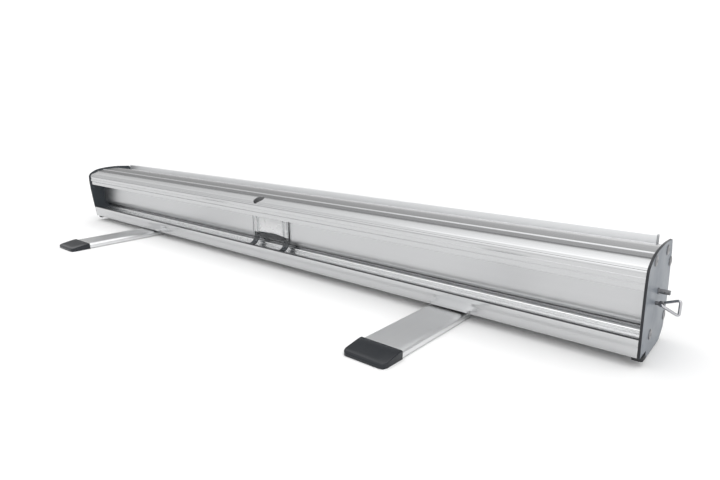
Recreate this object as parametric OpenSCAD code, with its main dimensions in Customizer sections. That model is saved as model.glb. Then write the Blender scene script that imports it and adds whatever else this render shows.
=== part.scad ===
// Roll-up banner stand, closed: an extruded cassette with a pole recess along its back,
// a sprung roller with the banner on it, a top rail in the slot and two swing-out feet.
// X runs along the cassette, -Y is the back with the pole recess, +Z is up, z = 0 is the floor.

/* [Cassette] */
// Length of the two cassette extrusions
cassette_length = 860; // [700:10:1200]
// Wall thickness of the extrusions
wall = 1.5; // [1.2:0.1:1.8]
// Height of the underside of the cassette above the floor
base_z = 8.7; // [8.5:0.1:9.2]
// Height of the pole recess floor
recess_floor_z = 21; // [20.5:0.5:21.5]
// Thickness of each end plate
plate_thickness = 2; // [1.5:0.5:3]

/* [Roller and banner] */
// Height of the roller axis
roller_z = 53; // [52.5:0.5:54]
// Outer radius of the roller tube
tube_radius = 11; // [10.5:0.5:11]
// Outer radius of the banner wound on the tube
roll_radius = 15.9; // [14:0.1:16]
// Width of the banner
banner_width = 838; // [600:2:838]
// Thickness drawn for the single layer of banner
banner_thickness = 0.4; // [0.3:0.1:0.5]

/* [Top rail] */
// Length of the top rail between its end caps
rail_length = 842; // [700:2:844]
// Height of the rail's top edge
rail_top_z = 91.5; // [90:0.5:92]

/* [Feet] */
// Distance of each foot pivot from mid-length
foot_spacing = 264.5; // [240:0.5:264.5]
// Width of a foot bar
foot_width = 41; // [36:1:41]
// Half of a foot's length over its caps
foot_reach = 159.2; // [140:0.1:159.2]
// Height of the top of a foot bar
foot_top_z = 7.3; // [7:0.1:7.4]

/* [Pole support] */
// Radius of the pole's hole through the shoulder
pole_hole_radius = 6.8; // [6.4:0.1:6.9]
// Radius of the pole peg's hole in the recess floor
socket_radius = 3; // [2.5:0.1:3.2]
// Width of the clear pole clip
clip_width = 64; // [50:1:70]

/* [Hidden] */
$fn = 48;

half = cassette_length / 2;
outer = half + plate_thickness;
running = 0.06;               // radial clearance of a turning fit
press = 0.02;                 // radial clearance drawn at a fixed fit

aluminium = "#c9cbcd";
plate_grey = "#7d838c";
dark_plastic = "#2b2d30";
steel = "#8d9094";

// ---- 2D helpers: every section is drawn in the Y-Z plane ----
function arc(y, z, r, from, to, steps) =
    [for (i = [0 : steps]) let (a = from + (to - from) * i / steps)
        [y + r * cos(a), z + r * sin(a)]];
function unit(v) = v / norm(v);
function left_of(v) = [-v[1], v[0]];
function side(path, i) = left_of(unit(path[i + 1] - path[i]));
function shifted(path, i, t) =
    let (last = len(path) - 1,
         a = side(path, max(i - 1, 0)),
         b = side(path, min(i, last - 1)))
    path[i] + (a + b) * t / (1 + a * b);
function shifted_back(path, t) = [for (i = [len(path) - 1 : -1 : 0]) shifted(path, i, t)];

function reversed(path) = [for (i = [len(path) - 1 : -1 : 0]) path[i]];

// A wall of even thickness along a path; a positive thickness lies on the path's left
module strip(path, t) {
    loop = concat(path, shifted_back(path, t));
    polygon(t > 0 ? loop : reversed(loop));
}

// Extrudes a Y-Z section along X
module along_x(x0, length) {
    translate([x0, 0, 0]) rotate([90, 0, 90]) linear_extrude(length) children();
}

// A round bar along X
module rod(x0, length, r, y, z) {
    translate([x0, y, z]) rotate([0, 90, 0]) cylinder(h = length, r = r);
}

module mirror_x(on) {
    if (on) mirror([1, 0, 0]) children();
    else children();
}

// ---- screw ports and screws at the ends ----
port_r = 2.9;
port_hole_r = 1.8;
shell_ports = [[16, 82.6], [-24.5, 82.6]];
base_ports = [[32.6, 69.8], [37.2, 21.6], [-10.8, 20.2]];
screw_spots = concat(shell_ports, base_ports);
screw_length = 14;
screw_head_r = 4.2;
screw_head_h = 1.1;

module ports(spots) { for (p = spots) translate(p) circle(r = port_r); }
module port_holes(spots) { for (p = spots) translate(p) circle(r = port_hole_r); }

// ---- cassette base: front lip, recess floor, underside and front wall ----
lip_foot = [-36, base_z];
lip_head = [-38.3, 24];
lip_t = 2.3;
lip_rise = 0.6;               // the lip's inner edge stands higher than its face
floor_end_y = -13.5;
bead_r = 1.6;
bead_rise = 1.1;
// The base's upstand stops just short of the shell's recess wall and closes the joint
upstand = [[-12.9, 20], [-11.4, 20], [-11.4, 26.2], [-12.2, 26.7], [-13.5, 26.7],
           [-12.9, 25.2]];
front_foot = [34, base_z];
front_wall = [front_foot, [41, 17.5], [42, 34], [41, 45], [38.6, 57], [36.9, 68],
              [36.1, 78], [35.6, 82]];
lip_face = [[-36.9, 12], [-37.25, 17], [-38.05, 20.1]];
groove_r = 0.35;

socket_at = [-0.5, -32.2];

module base_section() {
    difference() {
        union() {
            polygon(concat([lip_foot, [lip_foot[0] + lip_t, base_z],
                            [lip_head[0] + lip_t, lip_head[1] + lip_rise], lip_head],
                           reversed(lip_face)));
            translate([lip_foot[0] + 0.5, base_z]) square([70, wall]);
            translate([lip_foot[0] + 1, recess_floor_z - wall])
                square([floor_end_y - lip_foot[0] - 1, wall]);
            translate([floor_end_y - wall, base_z]) square([wall, recess_floor_z - base_z]);
            for (rise = [0, bead_rise])
                translate([floor_end_y - bead_r, recess_floor_z + bead_r / 2 + rise])
                    circle(r = bead_r);
            polygon(upstand);
            strip(front_wall, wall);
            ports(base_ports);
        }
        port_holes(base_ports);
        translate([upstand[5][0] - 0.1, upstand[5][1] - 0.2]) circle(r = groove_r);
    }
}

module cassette_base() {
    color(aluminium) difference() {
        along_x(-half, cassette_length) base_section();
        translate([socket_at[0], socket_at[1], recess_floor_z - wall - 1])
            cylinder(h = wall + 2, r = socket_radius);
        for (s = [-1, 1]) translate([s * foot_spacing, 0, base_z - 1])
            cylinder(h = wall + 2, r = 3 + press);
    }
}

// ---- cassette shell: top, rounded shoulder, recess ceiling and recess back wall ----
shell_lip = [-40.1, 63];
step_low = [-40.3, 68.8];
step_high = [-40.5, 72.7];
step_out = 0.5;
ridge = [-18.1, 86.7];
crown = [2, 88.4];
slot_edge = [24.4, 82.2];
back_wall_y = -18.8;

shoulder = concat(arc(-33.9, 75, 6.9, 178, 122, 8),
                  [[-33.2, 82.6], [-28.6, 84.5], [-23.4, 85.9]]);
shell_skin = concat([[-37.6, 63], shell_lip, step_low, step_high], shoulder,
                    [ridge, [-8, 87.8], crown, [10, 87.3], [17.5, 85.2], slot_edge,
                     [24.6, 79]]);
shell_back = concat([[-37.8, 63.2], [-36.4, 64.9], [-24, 64.6]],
                    arc(-23, 60.4, 4.2, 90, 0, 6),
                    [[back_wall_y, 48], [back_wall_y, 42], [-18.3, 37.5], [-17.2, 33.5],
                     [-15.6, 30], [-13.8, 27.2]]);

// The pole drops through a hole in the shoulder and a smaller one in the recess ceiling
pole_at = [-0.5, -33.2];
guide_r = 6.2;

module shell_section() {
    difference() {
        union() {
            strip(shell_skin, -wall);
            strip(shell_back, wall);
            ports(shell_ports);
            translate([ridge[0], ridge[1] - 0.35]) circle(r = 0.8);
            polygon([step_low - [step_out, 0], step_low + [0.8, 0], step_high + [0.8, 0],
                     step_high - [step_out, 0]]);
        }
        port_holes(shell_ports);
    }
}

module pole_hole() {
    translate([pole_at[0], pole_at[1], 75]) cylinder(h = 15, r = pole_hole_radius);
    translate([pole_at[0], pole_at[1], 60]) cylinder(h = 16, r = guide_r);
}

module cassette_shell() {
    color(aluminium) difference() {
        along_x(-half, cassette_length) shell_section();
        pole_hole();
    }
}

module slot_guard() {
    color(dark_plastic) along_x(-half + 2, cassette_length - 4) difference() {
        translate([22.6, 76.4]) square([3.8, 4.2]);
        translate([23.0, 78.9]) square([1.7, 3]);
    }
}

// ---- end plates ----
plate_outline = concat(
    [[-35.6, 8.4], [-37.4, 20], [-38.9, 32], [-40.3, 45], [-41.5, 56], [-42.2, 66]],
    arc(-33.4, 74.6, 8.8, 176, 122, 8),
    [[-33, 85], [-27.5, 87.2], [-17.5, 89.0], [-3, 90], [10, 90.2], [22, 89.3]],
    arc(28.2, 84.6, 4.4, 78, 8, 6),
    [[35.5, 79.5], [37.6, 68], [39.6, 57], [42, 45], [43, 34], [42.6, 18]],
    arc(37, 12, 5, 0, -45, 3),
    [[31, 2], [29, 1.2], [-16, 1.2], [-17, 8.4]]);
arbor_r = 2.5;
arbor_tip_r = 1.9;
axle_r = 4;
pin_r = 1.5;
pin_at = [-5, 44.5];

module plate_blank() {
    along_x(half, plate_thickness) difference() {
        polygon(plate_outline);
        for (p = screw_spots) translate(p) circle(r = port_hole_r + 0.2);
    }
}

module end_plate_left() {
    color(plate_grey) difference() {
        mirror([1, 0, 0]) plate_blank();
        rod(-outer - 1, plate_thickness + 2, axle_r + press, 0, roller_z);
    }
}

module end_plate_right() {
    color(plate_grey) difference() {
        plate_blank();
        rod(half - 1, plate_thickness + 2, arbor_r + press, 0, roller_z);
        rod(half - 1, plate_thickness + 2, pin_r + 0.05, pin_at[0], pin_at[1]);
    }
}

module end_screw(y, z) {
    difference() {
        union() {
            rod(outer, screw_head_h, screw_head_r, y, z);
            rod(outer - screw_length, screw_length, port_hole_r - 0.05, y, z);
        }
        for (a = [0, 90]) translate([outer + screw_head_h, y, z]) rotate([a, 0, 0])
            cube([1.4, 0.9, 4.4], center = true);
    }
}

module end_screws(left) {
    color(steel) mirror_x(left) for (p = screw_spots) end_screw(p[0], p[1]);
}

// ---- rubber pads under the corners ----
pad_low_z = 4.6;
pad_out = 3.4;
pad_r = 2.4;
module corner_pads() {
    color(dark_plastic) for (s = [0, 1]) mirror_x(s == 1) {
        translate([half - 5, -32, pad_low_z]) cube([5, 10, base_z - pad_low_z]);
        translate([0, 0, pad_low_z]) linear_extrude(base_z - pad_low_z - 0.6) union() {
            translate([half - 1, -32]) square([pad_out - pad_r + 1, 10]);
            for (y = [-32 + pad_r, -22 - pad_r]) translate([half + pad_out - pad_r, y])
                circle(r = pad_r);
            translate([half + 1, -32 + pad_r]) square([pad_out - 1, 10 - 2 * pad_r]);
        }
        translate([half - 5.7, 24, 0]) cube([5.5, 9, base_z]);
    }
}

// ---- roller ----
tube_wall = 1;
tube_half = half - 9;
flange_r = 14.5;
flange_t = 5;
plug_depth = 20;
lock_holes = 6;

module roller_tube() {
    color(aluminium) difference() {
        rod(-tube_half, 2 * tube_half, tube_radius, 0, roller_z);
        rod(-tube_half - 1, 2 * tube_half + 2, tube_radius - tube_wall, 0, roller_z);
    }
}

module plug_body(x_flange, x_hub, bore) {
    difference() {
        union() {
            rod(x_flange, flange_t, flange_r, 0, roller_z);
            rod(x_hub, plug_depth, tube_radius - tube_wall - press, 0, roller_z);
        }
        rod(-outer, 2 * outer, bore, 0, roller_z);
    }
}

module roller_plug_left() {
    color("#e6e6e2") plug_body(-tube_half - flange_t, -tube_half, axle_r + running);
}

module roller_plug_right() {
    pin_out = norm([pin_at[0], pin_at[1] - roller_z]);
    pin_angle = atan2(pin_at[1] - roller_z, pin_at[0]);
    color("#e6e6e2") difference() {
        plug_body(tube_half, tube_half - plug_depth, arbor_r + running);
        for (i = [0 : lock_holes - 1]) let (a = pin_angle + 360 / lock_holes * i)
            rod(tube_half + 0.5, flange_t, pin_r + 0.3, pin_out * cos(a),
                roller_z + pin_out * sin(a));
    }
}

spring_x0 = 236;
spring_length = half - 30 - spring_x0;
spring_grip = 12;
anchor_t = 8;

module spring_anchor() {
    color("#e6e6e2") difference() {
        rod(spring_x0 - anchor_t, anchor_t, tube_radius - tube_wall - press, 0, roller_z);
        rod(spring_x0 - 2 * anchor_t, 3 * anchor_t, arbor_r + running, 0, roller_z);
    }
}

module torsion_spring() {
    color(steel) difference() {
        rod(spring_x0, spring_length, 8.4, 0, roller_z);
        rod(spring_x0 - 1, spring_length + 2, 6.2, 0, roller_z);
    }
}

arbor_tip_x = half + 10.6;
module spring_arbor() {
    color(steel) difference() {
        union() {
            rod(spring_x0 - anchor_t - 6, outer + 1 - spring_x0 + anchor_t + 6, arbor_r, 0,
                roller_z);
            rod(outer, arbor_tip_x - outer, arbor_tip_r, 0, roller_z);
            rod(spring_x0 + spring_length - spring_grip, spring_grip, 6.1, 0, roller_z);
        }
        translate([arbor_tip_x, 0, roller_z]) cube([9, 7, 1.1], center = true);
    }
}

module arbor_collar() {
    color(steel) difference() {
        rod(half - 3.2, 3.2, 5.5, 0, roller_z);
        rod(half - 4, 5, arbor_r, 0, roller_z);
    }
}

module idler_axle() {
    color(steel) {
        rod(-outer - 9, 9 + plate_thickness + 32, axle_r, 0, roller_z);
        rod(-half, 3, 7, 0, roller_z);
    }
}

module idler_washer() {
    color(steel) difference() {
        rod(-outer - 1.5, 1.5, 8, 0, roller_z);
        rod(-outer - 2, 3, axle_r, 0, roller_z);
    }
}

module idler_nut() {
    color(steel) difference() {
        translate([-outer - 8, 0, roller_z]) rotate([0, 90, 0])
            cylinder(h = 6.5, r = 7.5, $fn = 6);
        rod(-outer - 9, 8, axle_r, 0, roller_z);
    }
}

// ---- banner ----
web_y = 29.8;
web_low_z = 75;
web_top_z = 79;

module banner_roll() {
    color("#f2f2ef") difference() {
        rod(-banner_width / 2, banner_width, roll_radius, 0, roller_z);
        rod(-banner_width / 2 - 1, banner_width + 2, tube_radius + press, 0, roller_z);
    }
}

// The straight stretch from the roll to the slot, tangent to the roll
lead_gap = 0.3;
lead_reach = norm([web_y, web_low_z - roller_z]);
lead_angle = atan2(web_low_z - roller_z, web_y)
             + asin((roll_radius + lead_gap) / lead_reach) - 90;
module banner_lead() {
    start = [(roll_radius + lead_gap) * cos(lead_angle),
             roller_z + (roll_radius + lead_gap) * sin(lead_angle)];
    color("#f2f2ef") along_x(-banner_width / 2, banner_width)
        strip([start, [web_y, web_low_z]], -banner_thickness);
}

module banner_web() {
    color("#f2f2ef") translate([-banner_width / 2, web_y - banner_thickness / 2, web_low_z + 0.3])
        cube([banner_width, banner_thickness, web_top_z - web_low_z - 0.3]);
}

// ---- top rail ----
rail_front_y = 26.9;
rail_back_y = 32.7;
rail_low_z = 76;
rail_step_z = 83.2;
blade_front_y = 28;
blade_t = 2.4;

module rail_outline() {
    polygon(concat(
        [[rail_front_y, rail_low_z], [rail_front_y, rail_step_z - 0.8],
         [rail_front_y + 0.8, rail_step_z], [blade_front_y + 0.4, rail_step_z],
         [blade_front_y, rail_step_z + 0.5]],
        arc(blade_front_y + blade_t / 2, rail_top_z - blade_t / 2, blade_t / 2, 180, 0, 8),
        [[blade_front_y + blade_t, rail_step_z], [rail_back_y - 0.8, rail_step_z],
         [rail_back_y, rail_step_z - 0.8], [rail_back_y, rail_low_z]]));
}

module top_rail() {
    color(aluminium) along_x(-rail_length / 2, rail_length) difference() {
        rail_outline();
        translate([rail_front_y + 1.2, rail_low_z + 1.2])
            square([rail_back_y - rail_front_y - 2.4, rail_step_z - rail_low_z - 2.6]);
        translate([web_y - 0.9, rail_low_z - 1]) square([1.8, 3]);
    }
}

module rail_grip_strip() {
    color("#d8d8d4") along_x(-rail_length / 2 + 4, rail_length - 8)
        translate([rail_front_y + 1.2, web_top_z])
            square([rail_back_y - rail_front_y - 2.4, rail_step_z - 1.4 - web_top_z]);
}

module rail_cap(left) {
    color("#b9bcbf") mirror_x(left) along_x(rail_length / 2, 1.5) rail_outline();
}

// ---- clear clip that holds the pole in the recess ----
clip_t = 1.4;
clip_x = 4;
clip_leg = 9;
clip_window_z = 36;
clip_y = back_wall_y - clip_t;
clip_face = [[clip_y, 60], [clip_y, clip_window_z]];
clip_foot = concat([[clip_y, clip_window_z + 1]],
                   arc(clip_y - 10.5, recess_floor_z + clip_t + 10.5, 10.5, 0, -90, 8),
                   [[-33.4, 22.4], [-34.2, 23], [-34.4, 24.8]]);

module pole_clip() {
    color("#e8f0f2", 0.45) union() {
        along_x(clip_x - clip_width / 2, clip_width) strip(clip_face, clip_t);
        for (x = [clip_x - clip_width / 2, clip_x + clip_width / 2 - clip_leg])
            along_x(x, clip_leg) strip(clip_foot, clip_t);
    }
}

// ---- lock pin with its pull ring ----
pin_tip_x = half - 3.6;
eye_x = outer + 4.2;
eye_r = 2.3;
eye_t = 2.2;
ring_wire = 1.15;
ring_reach = 12.6;
ring_up = 5.7;
ring_down = 7;
ring_gap = 2.8;

module lock_pin() {
    color(steel) difference() {
        union() {
            rod(pin_tip_x, eye_x - pin_tip_x, pin_r, pin_at[0], pin_at[1]);
            translate([eye_x, pin_at[0], pin_at[1]]) rotate([90, 0, 0])
                cylinder(h = eye_t, r = eye_r, center = true);
        }
        translate([eye_x, pin_at[0], pin_at[1]]) rotate([90, 0, 0])
            cylinder(h = 10, r = ring_wire + running, center = true);
    }
}

module wire(a, b) {
    d = b - a;
    translate(a) rotate([0, acos(d[2] / norm(d)), atan2(d[1], d[0])])
        cylinder(h = norm(d), r = ring_wire);
    translate(b) sphere(r = ring_wire + 0.06);
}

// A triangle of wire with its point through the pin's eye, one arm on each side of it
module lock_ring() {
    near = [eye_x, pin_at[0] - ring_gap, pin_at[1]];
    far = [eye_x, pin_at[0] + ring_gap, pin_at[1]];
    low = [eye_x + ring_reach, pin_at[0], pin_at[1] - ring_down];
    top = [eye_x + ring_reach, pin_at[0], pin_at[1] + ring_up];
    color("silver") {
        wire(far, near);
        wire(near, low);
        wire(low, top);
        wire(top, far);
    }
}

// ---- feet ----
cap_length = 25;
bar_half = foot_reach - cap_length;
bar_low_z = 0.8;
tongue = [32, 11, 3.2];
bolt_r = 3;

module foot_bar() {
    w = foot_width / 2;
    color(aluminium) difference() {
        union() {
            translate([0, bar_half, 0]) rotate([90, 0, 0]) linear_extrude(2 * bar_half)
                polygon([[-w, bar_low_z], [w, bar_low_z], [w, 4.9], [w - 0.7, 5.9],
                         [w - 4.4, foot_top_z], [-w + 4.4, foot_top_z], [-w + 0.7, 5.9],
                         [-w, 4.9]]);
            for (s = [-1, 1]) translate([-tongue[0] / 2, s > 0 ? bar_half : -bar_half - tongue[1],
                                         2]) cube(tongue);
        }
        translate([0, 0, -1]) cylinder(h = 12, r = bolt_r + running);
        translate([0, 0, bar_low_z - 0.01]) cylinder(h = 3.1, r1 = 6.2, r2 = bolt_r + running);
    }
}

cap_w = foot_width / 2 + 0.5;
cap_corner = 5;
module foot_cap() {
    color(dark_plastic) difference() {
        intersection() {
            translate([-cap_w, 0, 0]) rotate([90, 0, 90]) linear_extrude(2 * cap_w)
                polygon([[bar_half, 0], [bar_half, foot_top_z + 0.3],
                         [bar_half + 3, foot_top_z + 0.4], [foot_reach - 4.5, 5],
                         [foot_reach - 1.2, 3.7], [foot_reach, 2], [foot_reach - 0.3, 0]]);
            linear_extrude(12) union() {
                translate([-cap_w, bar_half]) square([2 * cap_w, cap_length - cap_corner]);
                translate([-cap_w + cap_corner, bar_half])
                    square([2 * (cap_w - cap_corner), cap_length]);
                for (s = [-1, 1]) translate([s * (cap_w - cap_corner), foot_reach - cap_corner])
                    circle(r = cap_corner);
            }
        }
        translate([-tongue[0] / 2 - press, bar_half - 1, 2 - press])
            cube([tongue[0] + 2 * press, tongue[1] + 1 + press, tongue[2] + 2 * press]);
    }
}

module placed_cap(x, front) {
    translate([x, 0, 0]) rotate([0, 0, front ? 0 : 180]) foot_cap();
}

module foot_bolt(x) {
    color(steel) translate([x, 0, 0]) {
        translate([0, 0, bar_low_z + 0.2]) cylinder(h = 2.9, r1 = 5.9, r2 = bolt_r);
        translate([0, 0, bar_low_z + 3]) cylinder(h = 13, r = bolt_r);
    }
}

module foot_washer(x) {
    color(steel) translate([x, 0, foot_top_z + 0.06]) difference() {
        cylinder(h = base_z - foot_top_z - 0.06, r = 9);
        translate([0, 0, -1]) cylinder(h = 4, r = bolt_r);
    }
}

module foot_nut(x) {
    color(steel) translate([x, 0, base_z + wall]) difference() {
        cylinder(h = 5, r = 5.8, $fn = 6);
        translate([0, 0, -1]) cylinder(h = 7, r = bolt_r);
    }
}

cassette_base();
cassette_shell();
end_plate_left();
end_plate_right();
end_screws(true);  // end_screws_left
end_screws(false);  // end_screws_right
corner_pads();
slot_guard();
roller_tube();
roller_plug_left();
roller_plug_right();
spring_anchor();
torsion_spring();
spring_arbor();
arbor_collar();
idler_axle();
idler_washer();
idler_nut();
banner_roll();
banner_lead();
banner_web();
top_rail();
rail_grip_strip();
rail_cap(true);  // rail_cap_left
rail_cap(false);  // rail_cap_right
pole_clip();
lock_pin();
lock_ring();
translate([-foot_spacing, 0, 0]) foot_bar();  // foot_left
translate([foot_spacing, 0, 0]) foot_bar();  // foot_right
placed_cap(-foot_spacing, false);  // foot_cap_left_back
placed_cap(-foot_spacing, true);  // foot_cap_left_front
placed_cap(foot_spacing, false);  // foot_cap_right_back
placed_cap(foot_spacing, true);  // foot_cap_right_front
foot_bolt(-foot_spacing);  // foot_bolt_left
foot_bolt(foot_spacing);  // foot_bolt_right
foot_washer(-foot_spacing);  // foot_washer_left
foot_washer(foot_spacing);  // foot_washer_right
foot_nut(-foot_spacing);  // foot_nut_left
foot_nut(foot_spacing);  // foot_nut_right
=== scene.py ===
# %% [markdown]
# # A roll-up banner stand, closed
# The stand is an aluminium cassette with a sprung roller inside, a rail that pulls the banner
# up, and two feet that swing out. The exact frame of the object is loaded first. Every piece
# made below, except the banner's run up to the rail, rides on one of its bodies, so the same
# scene works with the rail up or feet in.

# %% Load the frame
from math import acos, asin, atan2, ceil, cos, degrees, hypot, pi, radians, sin, tan

import bmesh
import bpy
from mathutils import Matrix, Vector


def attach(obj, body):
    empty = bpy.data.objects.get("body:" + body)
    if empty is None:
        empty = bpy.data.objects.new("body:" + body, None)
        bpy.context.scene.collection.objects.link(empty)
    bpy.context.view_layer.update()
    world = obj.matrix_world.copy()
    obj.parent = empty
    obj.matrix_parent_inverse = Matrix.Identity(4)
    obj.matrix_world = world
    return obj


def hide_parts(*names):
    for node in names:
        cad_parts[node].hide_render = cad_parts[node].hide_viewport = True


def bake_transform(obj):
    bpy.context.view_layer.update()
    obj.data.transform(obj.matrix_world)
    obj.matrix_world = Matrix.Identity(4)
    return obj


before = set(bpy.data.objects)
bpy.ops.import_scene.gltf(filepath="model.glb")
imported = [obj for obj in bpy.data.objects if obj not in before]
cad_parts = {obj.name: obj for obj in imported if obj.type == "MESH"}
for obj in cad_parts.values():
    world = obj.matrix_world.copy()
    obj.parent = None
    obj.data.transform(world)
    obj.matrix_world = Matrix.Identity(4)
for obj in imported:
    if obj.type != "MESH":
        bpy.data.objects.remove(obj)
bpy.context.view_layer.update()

# %% [markdown]
# ## Working in millimetres
# The real thing is drawn in millimetres and Blender counts in metres. Sections are typed in
# millimetres, as on a maker's drawing, and turned into metres once, when a mesh is made.

# %% Measures shared by many pieces
MM = 0.001
HALF = 430.0                # half the length of the extrusions
PLATE = 2.0                 # thickness of an end plate
OUTER = HALF + PLATE
WALL = 1.5                  # wall of the extrusions
BASE_Z = 8.7                # underside of the cassette
FLOOR_Z = 21.0              # floor of the pole recess
ROLLER_Z = 53.0             # height of the roller's axis
ROLL_R = 15.9               # outside of the wound banner
TUBE_R = 11.0
BANNER_HALF = 419.0
FOOT_X = 264.5              # from mid-length to a foot's pivot
PIN_Y, PIN_Z = -5.0, 44.5
print("cassette length", 2 * OUTER, "mm over its plates")

# %% [markdown]
# ## Turning numbers into meshes
# One helper makes every object: it takes points in millimetres and faces, welds doubled
# points, turns all faces outwards and shades smoothly, except across real edges. Smooth
# shading with marked sharp edges keeps curves soft without rounding what should be crisp.

# %% Make a piece from points and faces
def new_piece(name, points, faces, finish, sharp=32):
    mesh = bpy.data.meshes.new(name)
    mesh.from_pydata([(x * MM, y * MM, z * MM) for x, y, z in points], [], faces)
    shape = bmesh.new()
    shape.from_mesh(mesh)
    bmesh.ops.remove_doubles(shape, verts=shape.verts, dist=0.002 * MM)
    bmesh.ops.recalc_face_normals(shape, faces=shape.faces)
    shape.to_mesh(mesh)
    shape.free()
    mesh.shade_smooth()
    mesh.set_sharp_from_angle(angle=radians(sharp))
    obj = bpy.data.objects.new(name, mesh)
    bpy.context.scene.collection.objects.link(obj)
    mesh.materials.append(finish)
    return obj


def settle(obj, body, slot, *nodes):
    """The piece rides on a body and stands for CAD nodes; its slot is not used."""
    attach(obj, body)
    if nodes:
        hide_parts(*nodes)
    print(obj.name, "rides on", body, "with", len(obj.data.vertices), "points")
    return obj


def joined(parts):
    """One list of points and one of faces from several shapes."""
    points, faces = [], []
    for some_points, some_faces in parts:
        start = len(points)
        points += some_points
        faces += [[i + start for i in face] for face in some_faces]
    return points, faces


print("mesh helpers ready")

# %% [markdown]
# ## Sections of an extrusion
# An extrusion is one outline pushed along a line. A wall is made by offsetting a path to one
# side. No real edge is perfectly sharp, so `soften` rounds each corner: gently bent corners
# get the largest arc that fits, which makes the wall flow, and real corners a small radius
# that catches the light.

# %% Outlines: offset, arc and softened corners
SAME_POINT = 1e-4           # mm: two points this close are one
STRAIGHT_ON = radians(0.8)  # a smaller turn is left as it is
CORNER_SHARE = 0.46         # how much of its shorter side a rounded corner may take
ARC_STEP = 14               # degrees of turn for each short edge of a rounded corner


def unit(a, b):
    length = hypot(b[0] - a[0], b[1] - a[1])
    return (b[0] - a[0]) / length, (b[1] - a[1]) / length


def wall(path, thickness):
    """A closed outline of even thickness; positive thickness lies on the path's left."""
    back = []
    for i, (u, v) in enumerate(path):
        before = unit(path[max(i - 1, 0)], path[max(i, 1)])
        after = unit(path[min(i, len(path) - 2)], path[min(i + 1, len(path) - 1)])
        share = thickness / (1 + before[0] * after[0] + before[1] * after[1])
        back.append((u - (before[1] + after[1]) * share, v + (before[0] + after[0]) * share))
    return list(path) + back[::-1]


def arc(u, v, r, start, end, steps):
    turn = [radians(start + (end - start) * i / steps) for i in range(steps + 1)]
    return [(u + r * cos(a), v + r * sin(a)) for a in turn]


def soften(outline, edge=0.3, gentle=38, closed=True):
    """Rounds corners: a turn under `gentle` degrees flows, a larger one gets radius `edge`."""
    smooth, count = [], len(outline)
    for i, corner in enumerate(outline):
        if not closed and i in (0, count - 1):
            smooth.append(corner)
            continue
        a, b = outline[i - 1], outline[(i + 1) % count]
        la = hypot(a[0] - corner[0], a[1] - corner[1])
        lb = hypot(b[0] - corner[0], b[1] - corner[1])
        if min(la, lb) < SAME_POINT:
            continue
        ta, tb = unit(corner, a), unit(corner, b)
        inner = acos(max(-1, min(1, ta[0] * tb[0] + ta[1] * tb[1])))
        turn = pi - inner
        if turn < STRAIGHT_ON:
            smooth.append(corner)
            continue
        room = CORNER_SHARE * min(la, lb)
        cut = room if degrees(turn) < gentle else min(room, edge * tan(turn / 2))
        steps = max(2, ceil(degrees(turn) / ARC_STEP))
        start = corner[0] + ta[0] * cut, corner[1] + ta[1] * cut
        end = corner[0] + tb[0] * cut, corner[1] + tb[1] * cut
        for k in range(steps + 1):
            t = k / steps
            smooth.append(tuple((1 - t) ** 2 * s + 2 * t * (1 - t) * c + t * t * e
                                for s, c, e in zip(start, corner, end)))
    return smooth


print("a softened square has", len(soften([(0, 0), (9, 0), (9, 9), (0, 9)])), "corners")

# %% Solids from outlines: pushed along an axis, or turned about one
def placed(axis, t, u, v):
    """A point t along the axis and (u, v) across it."""
    return {"x": (t, u, v), "y": (u, t, v), "z": (u, v, t)}[axis]


def prism(outline, start, end, axis="x", lip=0.0):
    """An outline pushed along an axis. A lip above zero chamfers both ends by that much."""
    count = len(outline)
    rings = [(start, 0.0), (end, 0.0)]
    if lip:
        step = lip if end > start else -lip
        rings = [(start, lip), (start + step, 0.0), (end - step, 0.0), (end, lip)]
    area = sum(outline[i - 1][0] * outline[i][1] - outline[i][0] * outline[i - 1][1]
               for i in range(count))
    inward = 1 if area > 0 else -1
    points = []
    for t, inset in rings:
        for i, (u, v) in enumerate(outline):
            if inset:
                a, b = unit(outline[i - 1], (u, v)), unit((u, v), outline[(i + 1) % count])
                share = inward * inset / (1 + a[0] * b[0] + a[1] * b[1])
                u, v = u - (a[1] + b[1]) * share, v + (a[0] + b[0]) * share
            points.append(placed(axis, t, u, v))
    faces = [[r * count + i, r * count + (i + 1) % count,
              (r + 1) * count + (i + 1) % count, (r + 1) * count + i]
             for r in range(len(rings) - 1) for i in range(count)]
    faces += [list(range(count))[::-1],
              [(len(rings) - 1) * count + i for i in range(count)]]
    return points, faces


def turned(profile, centre, axis="x", steps=40, closed=False):
    """A profile of (distance along the axis, radius) turned about the axis."""
    count, points, faces = len(profile), [], []
    for k in range(steps):
        a = 2 * pi * k / steps
        points += [placed(axis, t, centre[0] + r * cos(a), centre[1] + r * sin(a))
                   for t, r in profile]
    last = count if closed else count - 1
    for k in range(steps):
        here, there = k * count, (k + 1) % steps * count
        for i in range(last):
            j = (i + 1) % count
            ring = [here + i, here + j, there + j, there + i]
            if profile[i][1] < 1e-6:
                ring = ring[:3]
            elif profile[j][1] < 1e-6:
                ring = [here + i, here + j, there + i]
            faces.append(ring)
    return points, faces


def tube_along(path, radius, sides=12, closed=False):
    """A round wire along points in space, with its rings kept from twisting."""
    path = [Vector(p) for p in path]
    count, points, faces = len(path), [], []
    side = None
    for i, here in enumerate(path):
        before = path[i - 1] if closed or i else here
        after = path[(i + 1) % count] if closed or i < count - 1 else here
        ahead = (after - before).normalized()
        if side is None:
            side = ahead.orthogonal().normalized()
        side = (side - ahead * side.dot(ahead)).normalized()
        up = ahead.cross(side)
        points += [tuple(here + radius * (cos(2 * pi * k / sides) * side
                                          + sin(2 * pi * k / sides) * up)) for k in range(sides)]
    for i in range(count if closed else count - 1):
        here, there = i * sides, (i + 1) % count * sides
        faces += [[here + k, here + (k + 1) % sides, there + (k + 1) % sides, there + k]
                  for k in range(sides)]
    if not closed:
        faces += [list(range(sides))[::-1], [(count - 1) * sides + k for k in range(sides)]]
    return points, faces


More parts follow.
